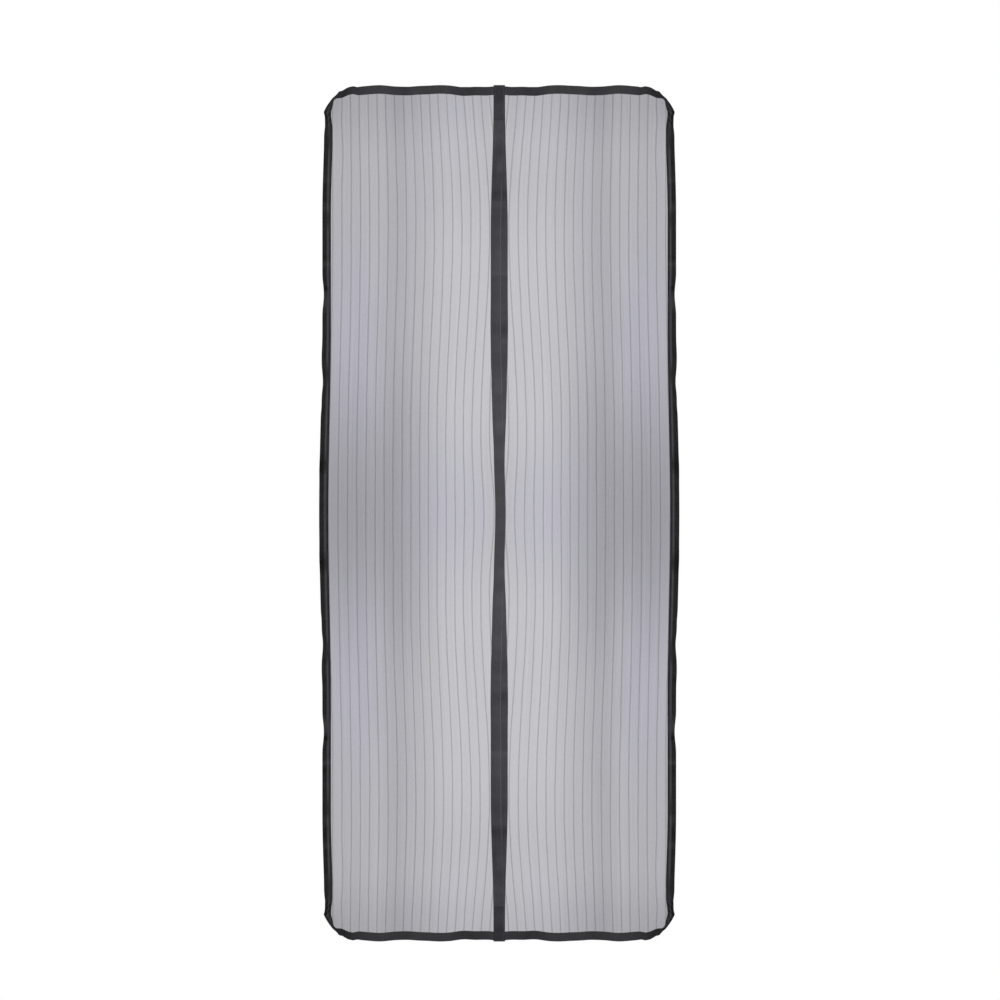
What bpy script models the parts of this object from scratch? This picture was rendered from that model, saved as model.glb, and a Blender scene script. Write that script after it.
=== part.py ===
"""Magnetic insect screen for a doorway, hanging closed.

Two leaves of see-through mesh, each bound all round in folded tape, hang side by side. The tapes
on the two inner edges overlap, the left one in front, and bar magnets sewn into them hold the
leaves shut. Loop strips sewn to the back of the head and of both sides press on to hook strips
that stick to the door frame.

Metres, +Z up. X runs to the right as seen from the front, and the front faces -Y. The origin is
the middle of the head hook strip's back face. Leaf shapes are written with x as a distance out
from the door's centre line and z as a height above mid-height, and each leaf sets its own side.
"""

import math

import bmesh
import bpy
import numpy as np

# Overall size and the wander of the edges
HEIGHT = 2.100
LEAF_WIDTH = 0.4285
SIDE_SWELL = 0.0055
MIDDLE_SWELL = 0.0080
SIDE_RIPPLE = 0.0015
SIDE_RIPPLE_PITCH = 0.209
TOP_RIPPLE = 0.0022
TOP_RIPPLE_PITCH = 0.145
CORNER = 0.063

# Binding tapes
TAPE_PLY = 0.0004
TOP_TAPE = 0.0200
SIDE_TAPE = 0.0200
SIDE_TAPE_SWELL = 0.0024
SIDE_TAPE_RIPPLE = 0.0010
CORNER_PINCH = 0.0035
CENTRE_TAPE = 0.0243

# Inner edge of each leaf, from the centre line to where its mesh leaves the tape
LAP_TOP = 0.0135
LAP_WIDE = 0.0200
LAP_MIDDLE = 0.0120
LAP_DRIFT = 0.0028

# Mesh and its woven stripes
MESH = 0.0004
STRIPE_PITCH = 0.0218
STRIPE_WIDTH = 0.0024
STRIPE_RISE = 0.0003
STRIPE_START = 0.0190
STRIPE_PULL_IN = 0.0230
STRIPE_BOW_OUT = 0.0120
STRIPE_NIP = 0.0050
WAVE_DEPTH = 0.0050
WAVE_MARGIN = 0.0450

# Magnets
MAGNETS = 12
MAGNET_LENGTH = 0.0200
MAGNET_WIDTH = 0.0100
MAGNET_THICK = 0.0024
MAGNET_INSET = 0.0030
MAGNET_SIDE_ROOM = 0.0020
MAGNET_END_INSET = 0.0900
BULGE_RUN = 0.0140

# Hook and loop strips
HOOK_THICK = 0.0010
LOOP_THICK = 0.0010
STRIP_WIDTH = 0.0150
LOOP_START = 0.1400

# Running clearances and the step that brings the left leaf in front of the right
CLEARANCE = 0.0003
STEP_START = 0.1350
STEP_RUN = 0.1100

# How far the mesh reaches into a tape, and how round the two edges of a tape are at the corners
HEM_SHARE = 0.35
OUTER_CORNER_POWER = 1.4
INNER_CORNER_POWER = 2.2

# Where the wander acts, as shares of the way from mid-height to the top
SHOULDER = 0.75
RIPPLE_END = 0.90
PINCH_START = 0.88
PINCH_END = 0.94
SWELL_END = 0.36
BOW_END = 0.45
NIP_END = 0.13
PULL_CENTRE = 0.65
PULL_REACH = 0.39
PULL_POWER = 1.7
LAP_NARROW_ABOVE = 0.95
LAP_WIDE_BELOW = 0.66
LAP_WIDE_ABOVE = 0.38
WAVE_FADE = 0.50
WAVES = 3

# Levels and stations at which the cloth is drawn
PANEL_LEVELS = (1.0, 0.86, 0.74, 0.61, 0.47, 0.27)
SIDE_STATIONS = 9
STRIP_STATIONS = 13
CORNER_STATIONS = 4
EDGE_SAMPLES = 60
CREASE = math.radians(35)

# Sizes worked out from those above
HALF_HEIGHT = HEIGHT / 2
HEM_GAP = MESH / 2 + STRIPE_RISE + CLEARANCE
FULL_GAP = max(MAGNET_THICK / 2, HEM_GAP + TAPE_PLY) + CLEARANCE
CENTRE_HEM = CENTRE_TAPE - MAGNET_INSET - MAGNET_WIDTH - MAGNET_SIDE_ROOM
LOOP_FRONT = HOOK_THICK + CLEARANCE + LOOP_THICK
LEAF_DEPTH = LOOP_FRONT + CLEARANCE + TAPE_PLY + HEM_GAP
FRONT_STEP = 2 * (FULL_GAP + TAPE_PLY) + CLEARANCE
HEAD_LINE = HALF_HEIGHT - TOP_TAPE / 2
MAGNET_PITCH = (HEIGHT - 2 * MAGNET_END_INSET) / (MAGNETS - 1)

LEAVES = {
    "left": {"side": -1, "step": FRONT_STEP},
    "right": {"side": 1, "step": 0.0},
}


def fade(value, full, none):
    """Falls from 1 to 0 with level ends as value goes from full to none."""
    left = min(max((none - value) / (none - full), 0.0), 1.0)
    return left * left * (3 - 2 * left)


def hump(value):
    """A raised cosine, 1 at value 0 and nothing from -1 and 1 outwards."""
    return 0.5 + 0.5 * math.cos(math.pi * min(abs(value), 1.0))


def side_ripple(z):
    """Slow in and out of the side edge, 1 at its widest."""
    return -math.cos(2 * math.pi * (abs(z) - HALF_HEIGHT / 2) / SIDE_RIPPLE_PITCH)


def side_edge(z):
    """Outer fold of a side tape."""
    share = abs(z) / HALF_HEIGHT
    swell = SIDE_SWELL * fade(share, SHOULDER, 1) + MIDDLE_SWELL * fade(share, 0, SWELL_END)
    return LEAF_WIDTH + swell + SIDE_RIPPLE * side_ripple(z) * fade(share, RIPPLE_END, 1)


def side_tape(z):
    """Width of a side tape, drawn narrow near the corners."""
    share = abs(z) / HALF_HEIGHT
    swell = SIDE_TAPE_SWELL * fade(share, 0, SWELL_END) + SIDE_TAPE_RIPPLE * side_ripple(z)
    return SIDE_TAPE + swell - CORNER_PINCH * (1 - fade(share, PINCH_START, PINCH_END))


def top_edge(x):
    """Outer fold of a top tape, which rises and falls between its stitches."""
    return HALF_HEIGHT + TOP_RIPPLE * math.cos(2 * math.pi * x / TOP_RIPPLE_PITCH)


def lap_edge(leaf, z):
    """Where the mesh leaves the centre tape: the lap is widest at the quarter heights."""
    share = abs(z) / HALF_HEIGHT
    edge = LAP_TOP + (LAP_WIDE - LAP_TOP) * fade(share, LAP_WIDE_BELOW, LAP_NARROW_ABOVE)
    edge -= (LAP_WIDE - LAP_MIDDLE) * fade(share, 0, LAP_WIDE_ABOVE)
    return edge + leaf["side"] * LAP_DRIFT * hump(share / NIP_END)


def leaf_y(leaf, x):
    """Depth of a leaf's middle plane: the left one steps forward near the centre line."""
    return -LEAF_DEPTH - leaf["step"] * fade(x, STEP_START - STEP_RUN, STEP_START)


def side_station(z):
    """Outer and inner edge points of the side tape at one height."""
    outer = side_edge(z)
    return (outer, z), (outer - side_tape(z), z)


def top_station(x):
    """Outer and inner edge points of the top tape at one place."""
    top = top_edge(x)
    return (x, top), (x, top - TOP_TAPE)


def corner_centre():
    """Centre of the rounded corner, where the side and the top run straight on."""
    z = HALF_HEIGHT - CORNER
    return side_edge(z) - CORNER, z


def corner_station(angle):
    """Outer and inner edge points at an angle round the corner, 0 at the side."""
    centre_x, centre_z = corner_centre()
    (side_out, _), (side_in, _) = side_station(centre_z)
    (_, top_out), (_, top_in) = top_station(centre_x)
    points = []
    for side, top, power in (
        (side_out, top_out, OUTER_CORNER_POWER),
        (side_in, top_in, INNER_CORNER_POWER),
    ):
        along = max(math.cos(angle), 0.0) ** (2 / power)
        up = max(math.sin(angle), 0.0) ** (2 / power)
        points.append((centre_x + (side - centre_x) * along, centre_z + (top - centre_z) * up))
    return tuple(points)


def between(station, share):
    """The point at a share of the way from a station's outer edge to its inner edge."""
    (x_out, z_out), (x_in, z_in) = station
    return x_out + (x_in - x_out) * share, z_out + (z_in - z_out) * share


def corner_angles(start, end):
    """Angles of the stations from start to end, both included."""
    return np.linspace(start, end, CORNER_STATIONS)


def stripe_rest_places():
    """Places of the woven stripes where the mesh hangs undisturbed, from the outside in."""
    first = LEAF_WIDTH - STRIPE_START
    count = int((first - LAP_TOP) / STRIPE_PITCH) + 1
    return [first - STRIPE_PITCH * i for i in range(count)]


def stripe_place(leaf, rest, z):
    """Where a stripe lies at height z, drawn to and fro as the mesh hangs."""
    share = abs(z) / HALF_HEIGHT
    inward = 1 - rest / (LEAF_WIDTH - STRIPE_START)
    x = rest - STRIPE_PULL_IN * inward**PULL_POWER * hump((share - PULL_CENTRE) / PULL_REACH)
    x += STRIPE_BOW_OUT * (1 - inward) * fade(share, 0, BOW_END)
    x -= STRIPE_NIP * inward * hump(share / NIP_END)
    return max(x, lap_edge(leaf, z) - CENTRE_HEM + STRIPE_WIDTH)


def mesh_top():
    """The upper edge of the mesh as places and heights, from the centre out to the side."""
    along = np.linspace(-CENTRE_TAPE, corner_centre()[0], EDGE_SAMPLES)
    around = np.linspace(math.pi / 2, 0, EDGE_SAMPLES)[1:]
    stations = [top_station(x) for x in along] + [corner_station(angle) for angle in around]
    return np.array([between(station, HEM_SHARE) for station in stations]).T


def mesh_lines(leaf):
    """The mesh's upright lines from the outside in: each a place for any height, and its rise."""
    lines = [(lambda z: between(side_station(z), HEM_SHARE)[0], 0.0)]
    for rest in stripe_rest_places():
        for share, rise in ((0.5, 0.0), (0.0, STRIPE_RISE), (-0.5, 0.0)):
            shift = share * STRIPE_WIDTH
            lines.append((lambda z, rest=rest, shift=shift: stripe_place(leaf, rest, z) + shift, rise))
    return lines + [(lambda z: lap_edge(leaf, z) - CENTRE_HEM, 0.0)]


def mesh_wave(x, z):
    """Soft upright folds, which fade out towards the tapes all round."""
    across = (x - WAVE_MARGIN) / (LEAF_WIDTH - 2 * WAVE_MARGIN)
    if not 0 < across < 1:
        return 0.0
    depth = WAVE_DEPTH * fade(abs(z) / HALF_HEIGHT, WAVE_FADE, 1)
    return depth * math.sin(math.pi * WAVES * across) ** 2


def add_object(name, bm, *materials):
    """Turns a finished bmesh into an object of its own, hung from the curtain's empty."""
    bmesh.ops.recalc_face_normals(bm, faces=bm.faces)
    mesh = bpy.data.meshes.new(name)
    bm.to_mesh(mesh)
    bm.free()
    mesh.shade_smooth()
    mesh.set_sharp_from_angle(angle=CREASE)
    for material in materials:
        mesh.materials.append(material)
    obj = bpy.data.objects.new(name, mesh)
    bpy.context.scene.collection.objects.link(obj)
    obj.parent = bpy.data.objects["curtain"]
    return obj


def add_loft(name, rings, cap, material):
    """A closed skin over rings of points, its two ends closed by the faces that cap lists."""
    bm = bmesh.new()
    rows = [[bm.verts.new(point) for point in ring] for ring in rings]
    for near, far in zip(rows, rows[1:]):
        for i in range(len(near)):
            j = (i + 1) % len(near)
            bm.faces.new((near[i], near[j], far[j], far[i]))
    for corners in cap:
        bm.faces.new([rows[0][i] for i in corners])
        bm.faces.new([rows[-1][i] for i in reversed(corners)])
    return add_object(name, bm, material)


def add_wall(name, front, back, ground, stripe):
    """A closed thin wall between two matching grids of points, striped after each plain column."""
    bm = bmesh.new()
    grids = [[[bm.verts.new(point) for point in row] for row in grid] for grid in (front, back)]
    for grid in grids:
        for low, high in zip(grid, grid[1:]):
            for i, (a, b, c, d) in enumerate(zip(low, low[1:], high[1:], high)):
                for corners in ((a, b, c), (a, c, d)):
                    bm.faces.new(corners).material_index = int(i % 3 > 0)
    rims = [
        grid[0] + [row[-1] for row in grid[1:]] + grid[-1][-2::-1] + [row[0] for row in grid[-2:0:-1]]
        for grid in grids
    ]
    for i, (a, b) in enumerate(zip(*rims)):
        j = (i + 1) % len(rims[0])
        bm.faces.new((a, rims[0][j], rims[1][j], b))
    return add_object(name, bm, ground, stripe)


def folded_tape_ring(leaf, station, gap, y):
    """One cross-section of a tape folded round an edge, with its two plies a gap apart each side."""
    (x_out, z_out), (x_in, z_in) = station
    width = math.hypot(x_in - x_out, z_in - z_out)
    outside = gap + TAPE_PLY
    nose = outside * 0.6
    section = (
        (width, -outside),
        (nose, -outside),
        (0, -outside + nose),
        (0, outside - nose),
        (nose, outside),
        (width, outside),
        (width, gap),
        (TAPE_PLY, gap),
        (TAPE_PLY, -gap),
        (width, -gap),
    )
    ring = []
    for along, across in section:
        x, z = between(station, along / width)
        ring.append((leaf["side"] * x, y + across, z))
    return ring


FOLDED_TAPE_CAP = ((0, 1, 8, 9), (1, 2, 8), (2, 3, 7, 8), (3, 4, 7), (4, 5, 6, 7))


def add_side_binding(name, leaf, material):
    """The tape down a leaf's outer side, tapering into both corners."""
    _, corner_z = corner_centre()
    joint = math.pi / 4 - CLEARANCE / CORNER
    upper = [corner_station(angle) for angle in corner_angles(joint, 0)]
    upper += [side_station(z) for z in np.linspace(corner_z, 0, SIDE_STATIONS + 1)[1:-1]]
    lower = [tuple((x, -z) for x, z in station) for station in reversed(upper)]
    stations = upper + [side_station(0)] + lower
    rings = [folded_tape_ring(leaf, station, HEM_GAP, -LEAF_DEPTH) for station in stations]
    add_loft(name, rings, FOLDED_TAPE_CAP, material)


def add_end_binding(name, leaf, way, material):
    """The tape along a leaf's top (way 1) or bottom (way -1), its inner end inside the centre tape."""
    centre_x, _ = corner_centre()
    joint = math.pi / 4 + CLEARANCE / CORNER
    stations = [corner_station(angle) for angle in corner_angles(joint, math.pi / 2)]
    places = [stripe_place(leaf, rest, HALF_HEIGHT) for rest in stripe_rest_places()]
    last = lap_edge(leaf, HALF_HEIGHT) - CENTRE_HEM
    clear = STRIPE_PITCH / 3
    places = [x for x in places if last + clear < x < centre_x - clear]
    stations += [top_station(x) for x in places + [last]]
    rings = []
    for station in stations:
        turned = tuple((x, way * z) for x, z in station)
        rings.append(folded_tape_ring(leaf, turned, HEM_GAP, leaf_y(leaf, station[0][0])))
    add_loft(name, rings, FOLDED_TAPE_CAP, material)


def magnet_heights():
    """Heights of the magnets' middles, from the top down."""
    return [MAGNET_PITCH * ((MAGNETS - 1) / 2 - i) for i in range(MAGNETS)]


def centre_tape_profile():
    """Heights down the centre tapes with the gap between the plies there, wide at each magnet."""
    end = HALF_HEIGHT + TOP_RIPPLE
    level = end - TOP_RIPPLE - TOP_TAPE - TOP_RIPPLE
    profile = [(end, FULL_GAP), (level, FULL_GAP), (level - BULGE_RUN, HEM_GAP)]
    for z in magnet_heights():
        half = MAGNET_LENGTH / 2 + CLEARANCE
        profile += [
            (z + half + BULGE_RUN, HEM_GAP),
            (z + half, FULL_GAP),
            (z - half, FULL_GAP),
            (z - half - BULGE_RUN, HEM_GAP),
        ]
    return profile + [(-level + BULGE_RUN, HEM_GAP), (-level, FULL_GAP), (-end, FULL_GAP)]


def add_centre_binding(name, leaf, material):
    """The tape down a leaf's inner edge, folded round the magnets, over the ends of the others."""
    rings = []
    for z, gap in centre_tape_profile():
        edge = lap_edge(leaf, z)
        station = (edge - CENTRE_TAPE, z), (edge, z)
        rings.append(folded_tape_ring(leaf, station, gap, -LEAF_DEPTH - leaf["step"]))
    add_loft(name, rings, FOLDED_TAPE_CAP, material)


def add_mesh_panel(name, leaf, ground, stripe):
    """One leaf's mesh: a thin wall with its woven stripes standing proud on both faces."""
    edge_x, edge_z = mesh_top()
    lines = mesh_lines(leaf)
    tops = [np.interp(place(HALF_HEIGHT), edge_x, edge_z) for place, _ in lines]
    tops[0] = corner_centre()[1]
    front = []
    back = []
    for level in PANEL_LEVELS + (0.0,) + tuple(-level for level in reversed(PANEL_LEVELS)):
        front.append([])
        back.append([])
        for (place, rise), top in zip(lines, tops):
            z = top * level
            x = place(z)
            y = leaf_y(leaf, x) - mesh_wave(x, z)
            half = MESH / 2 + rise
            front[-1].append((leaf["side"] * x, y - half, z))
            back[-1].append((leaf["side"] * x, y + half, z))
    add_wall(name, front, back, ground, stripe)


def add_magnet(name, leaf, z, material):
    """A flat bar magnet, upright in the fold of the centre tape."""
    bm = bmesh.new()
    bmesh.ops.create_cube(bm, size=1)
    bmesh.ops.scale(bm, vec=(MAGNET_WIDTH, MAGNET_THICK, MAGNET_LENGTH), verts=bm.verts)
    magnet = add_object(name, bm, material)
    fold = max(lap_edge(leaf, z + way * MAGNET_LENGTH / 2) for way in (-1, 1)) - CENTRE_TAPE
    x = fold + MAGNET_INSET + MAGNET_WIDTH / 2
    magnet.location = (leaf["side"] * x, -LEAF_DEPTH - leaf["step"], z)


def add_strip(name, centre_line, y_back, y_front, material):
    """A flat strip along a centre line of points, each with the direction across the strip."""
    rings = []
    for (x, z), (across_x, across_z) in centre_line:
        near = (x - across_x * STRIP_WIDTH / 2, z - across_z * STRIP_WIDTH / 2)
        far = (x + across_x * STRIP_WIDTH / 2, z + across_z * STRIP_WIDTH / 2)
        ring = [(near[0], y_back, near[1]), (far[0], y_back, far[1])]
        rings.append(ring + [(far[0], y_front, far[1]), (near[0], y_front, near[1])])
    add_loft(name, rings, ((0, 1, 2, 3),), material)


def side_strip_line(leaf):
    """Centre line of the strips behind a side tape."""
    reach = corner_centre()[1] - STRIP_WIDTH
    heights = np.linspace(reach, -reach, STRIP_STATIONS)
    return [((leaf["side"] * between(side_station(z), 0.5)[0], z), (1, 0)) for z in heights]


def head_loop_line(leaf):
    """Centre line of the loop strip behind a top tape, short of where the left leaf steps out."""
    places = np.linspace(LOOP_START, corner_centre()[0], STRIP_STATIONS)
    return [((leaf["side"] * x, between(top_station(x), 0.5)[1]), (0, 1)) for x in places]


def add_strips(loop, hook):
    """Loop strips sewn to the leaves and the adhesive hook strips that they press on to."""
    loop_back = -HOOK_THICK - CLEARANCE
    for label, leaf in LEAVES.items():
        line = side_strip_line(leaf)
        add_strip(f"{label}_side_loop_strip", line, loop_back, -LOOP_FRONT, loop)
        add_strip(f"{label}_side_hook_strip", line, 0.0, -HOOK_THICK, hook)
        add_strip(f"{label}_head_loop_strip", head_loop_line(leaf), loop_back, -LOOP_FRONT, loop)
    reach = corner_centre()[0]
    head_line = [((x, HEAD_LINE), (0, 1)) for x in (-reach, reach)]
    add_strip("head_hook_strip", head_line, 0.0, -HOOK_THICK, hook)


def plain_material(name, colour, roughness, metallic=0.0, alpha=1.0):
    """A material with one linear colour all over."""
    material = bpy.data.materials.new(name)
    material.use_nodes = True
    shader = material.node_tree.nodes["Principled BSDF"]
    shader.inputs["Base Color"].default_value = (*colour, 1.0)
    shader.inputs["Roughness"].default_value = roughness
    shader.inputs["Metallic"].default_value = metallic
    shader.inputs["Alpha"].default_value = alpha
    return material


def main():
    for obj in list(bpy.data.objects):
        bpy.data.objects.remove(obj)
    curtain = bpy.data.objects.new("curtain", None)
    curtain.location = (0, 0, -HEAD_LINE)
    bpy.context.scene.collection.objects.link(curtain)

    ground = plain_material("polyester mesh", (0.163, 0.160, 0.182), 0.85, alpha=0.65)
    stripe = plain_material("woven stripe", (0.075, 0.073, 0.082), 0.85, alpha=0.80)
    tape = plain_material("woven binding tape", (0.044, 0.042, 0.047), 0.80)
    magnet = plain_material("bar magnet", (0.070, 0.068, 0.066), 0.45)
    loop = plain_material("loop strip", (0.020, 0.020, 0.021), 0.95)
    hook = plain_material("hook strip", (0.026, 0.026, 0.027), 0.60)

    for label, leaf in LEAVES.items():
        add_mesh_panel(f"{label}_mesh_panel", leaf, ground, stripe)
        add_side_binding(f"{label}_side_binding", leaf, tape)
        add_end_binding(f"{label}_top_binding", leaf, 1, tape)
        add_end_binding(f"{label}_bottom_binding", leaf, -1, tape)
        add_centre_binding(f"{label}_centre_binding", leaf, tape)
        for number, z in enumerate(magnet_heights(), 1):
            add_magnet(f"{label}_magnet_{number:02d}", leaf, z, magnet)
    add_strips(loop, hook)


main()
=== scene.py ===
"""Magnetic insect screen for a doorway, hanging closed, dressed for the render.

Two leaves of see-through net hang side by side, each bound all round in folded woven tape. The tapes on
the two inner edges lap over each other, the left one in front, and hold bar magnets in sewn pockets.
Loop strips behind the head and the sides press on to hook strips that stick to the door frame.

Metres, +Z up, and the front faces -Y. Leaf shapes are written with x as a distance out from the door's
centre line and z as a height above mid-height, as in the part's source, and each leaf sets its side.
"""
import math
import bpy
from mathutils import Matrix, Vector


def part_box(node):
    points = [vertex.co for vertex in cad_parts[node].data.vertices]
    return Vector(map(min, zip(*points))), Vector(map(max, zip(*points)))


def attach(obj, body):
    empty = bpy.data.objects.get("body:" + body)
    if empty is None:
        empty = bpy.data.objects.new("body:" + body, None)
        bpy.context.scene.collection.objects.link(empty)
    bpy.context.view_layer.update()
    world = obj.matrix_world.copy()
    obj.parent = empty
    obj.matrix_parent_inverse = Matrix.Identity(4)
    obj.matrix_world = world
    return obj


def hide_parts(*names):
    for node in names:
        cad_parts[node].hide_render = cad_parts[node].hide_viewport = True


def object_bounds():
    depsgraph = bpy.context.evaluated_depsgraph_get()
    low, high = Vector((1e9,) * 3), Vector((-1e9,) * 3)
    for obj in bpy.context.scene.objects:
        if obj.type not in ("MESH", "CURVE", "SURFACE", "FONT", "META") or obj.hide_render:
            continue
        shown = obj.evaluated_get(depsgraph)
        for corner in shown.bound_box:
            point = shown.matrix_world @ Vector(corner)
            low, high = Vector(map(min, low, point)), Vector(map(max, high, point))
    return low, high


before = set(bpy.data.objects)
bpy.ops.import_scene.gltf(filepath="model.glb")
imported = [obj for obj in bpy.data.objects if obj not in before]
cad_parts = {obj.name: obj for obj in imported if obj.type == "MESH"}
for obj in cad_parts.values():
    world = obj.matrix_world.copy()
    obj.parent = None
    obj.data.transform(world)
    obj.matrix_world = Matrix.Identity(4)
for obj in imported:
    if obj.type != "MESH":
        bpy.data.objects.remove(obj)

from types import SimpleNamespace

import bpy
import numpy as np

CAD_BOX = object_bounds()

# Heights from the frame: the middle of the curtain, and the lowest point that hangs
MIDDLE = sum(corner[2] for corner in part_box("left_side_binding")) / 2
LOWEST = CAD_BOX[0][2]

# Overall size and the wander of the edges, close to the part's own values and matched to the photo
HALF_HEIGHT = 1.05
LEAF_WIDTH = 0.4285
SIDE_SWELL = 0.0062
MIDDLE_SWELL = 0.008
TOP_RIPPLE = 0.0022
TOP_RIPPLE_PITCH = 0.145

# Binding tapes
TAPE_PLY = 0.0004
TOP_TAPE = 0.0214
SIDE_TAPE = 0.0212
SIDE_TAPE_SWELL = 0.0015
CORNER_PINCH = 0.0045
CORNER_LIP = 0.0009
CORNER_LIP_SPAN = (0.901, 0.022)
CENTRE_TAPE = 0.0254
HEM_SHARE = 0.35

# Inner edge of each leaf, from the centre line to where its net leaves the tape
LAP_TOP = 0.0141
LAP_WIDE = 0.0209
LAP_MIDDLE = 0.0129
LAP_DRIFT = 0.0031
LAP_DRIFT_END = 0.13
LAP_UPPER_ENDS = (0.66, 0.96)
LAP_LOWER_ENDS = (0.09, 0.395)

# Net and its woven stripes
STRIPE_PITCH = 0.0214
STRIPE_START = 0.0192
STRIPE_PULL_IN = 0.024
PULL_SPAN = (0.666, 0.481)
PULL_POWER = 0.94
STRIPE_BOW_OUT = 0.0107
BOW_END = 0.62
BOW_POWER = 4.4
STRIPE_NIP = 0.0188
STRIPE_NIP_END = 0.183
STRIPE_NIP_POWER = 7.6
HEAD_SPREAD = 0.0069
SPREAD_END = 0.7
STRIPE_WANDER = 0.0005
STRIPE_WANDER_PITCH = 0.41
STRIPE_WANDER_TURN = 1.9
HIDDEN_SPREAD = 0.1
KINKED_STRIPE = LEAF_WIDTH - STRIPE_START - STRIPE_PITCH
WAVE_DEPTH = 0.005
WAVE_MARGIN = 0.045
WAVE_FADE = 0.5
WAVES = 3
YARN = 0.00022
YARN_GAP = 0.00078
YARNS = 4

# Magnets in the centre tapes, and the seams round each one's pocket
MAGNETS = 12
MAGNET_LENGTH = 0.02
MAGNET_THICK = 0.0024
MAGNET_POCKET = 0.0146
MAGNET_END_INSET = 0.09
BULGE_RUN = 0.009
POCKET_SEAM = MAGNET_LENGTH / 2 + 0.004
POCKET_SIDE_SEAM = (MAGNET_POCKET + 0.0035) / CENTRE_TAPE

# Depths, front to back
CLEARANCE = 0.0003
HEM_GAP = 0.0008
FULL_GAP = MAGNET_THICK / 2 + CLEARANCE
CENTRE_HEM = 0.0093
HOOK_THICK = 0.001
LOOP_THICK = 0.001
LOOP_FRONT = HOOK_THICK + CLEARANCE + LOOP_THICK
LEAF_DEPTH = LOOP_FRONT + CLEARANCE + TAPE_PLY + HEM_GAP
FRONT_STEP = 2 * (FULL_GAP + TAPE_PLY) + CLEARANCE
STEP_START = 0.135
STEP_RUN = 0.11

# Hook and loop strips
STRIP_WIDTH = 0.015
LOOP_START = 0.14
SIDE_STRIP_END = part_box("left_side_loop_strip")[1][2] - MIDDLE
HEAD_STRIP_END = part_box("head_hook_strip")[1][0]

# Where the side edge swells and is pinched, and where its raised line fades, as shares of the way from
# mid-height to the top
SHOULDER_ENDS = (0.7, 0.97)
SWELL_END = 0.45
PINCH_ENDS = (0.86, 0.94)
RIB_ENDS = (0.83, 0.87)

# Sewing. Seams lie at shares of the way from a tape's fold to its open edge
STITCH = 0.003
STITCH_GAP = 0.0005
STITCH_START = 0.1
THREAD = 0.00036
EDGE_SEAMS = (0.2, 0.83)
EDGE_SEAM_INSET = 0.012
CENTRE_HEM_SEAM = 0.92
CENTRE_SEAM_INSET = 0.004
CROSS_SEAM_START = 0.08
CROSS_SEAM_POINTS = 7
# A stitch's four rings: how far along it, how high and how thick, as shares of its length and thread
STITCH_RINGS = ((0.0, -0.6, 0.5), (0.18, 0.35, 1.0), (0.82, 0.35, 1.0), (1.0, -0.6, 0.5))

# How finely the cloth is drawn
STATION = 0.0065
CORNER_STATION = 0.0022
NET_ROWS = 220
NET_BETWEEN = 5
HEM_COLUMNS = 4
NET_TOP_POINTS = 60
SIDE_STRIP_POINTS = 160
HEAD_LOOP_POINTS = 40
HEAD_HOOK_POINTS = 90
THREAD_SIDES = 4
CREASE = math.radians(40)

LEAVES = {
    "left": {"side": -1, "step": FRONT_STEP},
    "right": {"side": 1, "step": 0.0},
}

# The rounded corner: outer and inner edge of the side tape down from the neck where it meets the top
# tape, and of the top tape from the neck inwards, as distance out and height, in metres
SIDE_CORNER = (
    ((0.3985, 1.029), (0.397, 1.0212)),
    ((0.4043, 1.0252), (0.4018, 1.0187)),
    ((0.4107, 1.0194), (0.4068, 1.0133)),
    ((0.4214, 1.0046), (0.4085, 1.0039)),
    ((0.4271, 0.995), (0.4112, 0.9939)),
    ((0.4316, 0.9858), (0.4135, 0.9848)),
    ((0.4287, 0.9752), (0.4132, 0.975)),
    ((0.4284, 0.9651), (0.4119, 0.9651)),
)
TOP_CORNER = (
    ((0.4033, 1.0257), (0.4023, 1.0187)),
    ((0.3989, 1.03), (0.3974, 1.0197)),
    ((0.3935, 1.037), (0.3901, 1.0199)),
    ((0.3855, 1.0384), (0.3837, 1.0216)),
    ((0.3795, 1.0424), (0.3778, 1.0246)),
    ((0.3714, 1.0469), (0.3696, 1.0279)),
    ((0.3592, 1.0496), (0.3601, 1.0302)),
    ((0.3488, 1.0472), (0.3473, 1.0273)),
)
SIDE_CORNER_END = 0.952
TOP_CORNER_END = 0.338
NECK_OVERLAP = 0.0005
CORNER_POINT = 0.984

# Places where a tape is tucked or marked: share of the height, how much, and its run
SIDE_TUCKS = (
    (0.512, -0.0036, 0.05), (0.305, -0.0032, 0.045), (0.37, 0.001, 0.04),
    (0.105, 0.0006, 0.04), (0.912, -0.0014, 0.03), (0.884, 0.0005, 0.034),
    (0.256, -0.0013, 0.034),
)
# The same along the top and bottom edges: distance from the centre line, how far up, and its run
TOP_TUCKS = (
    (0.023, -0.003, 0.04), (0.092, -0.0013, 0.03), (0.2, 0.0014, 0.034),
    (0.262, -0.0013, 0.036),
)
# The same for the edge where the net leaves the centre tape
LAP_TUCKS = (
    (0.445, 0.0006, 0.07), (0.323, -0.0009, 0.026), (0.215, 0.0007, 0.07),
)
# The same for the stripe next to the side tape
STRIPE_KINKS = (
    (0.957, -0.0015, 0.035), (0.919, 0.0009, 0.03), (0.837, -0.0026, 0.1),
)
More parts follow.
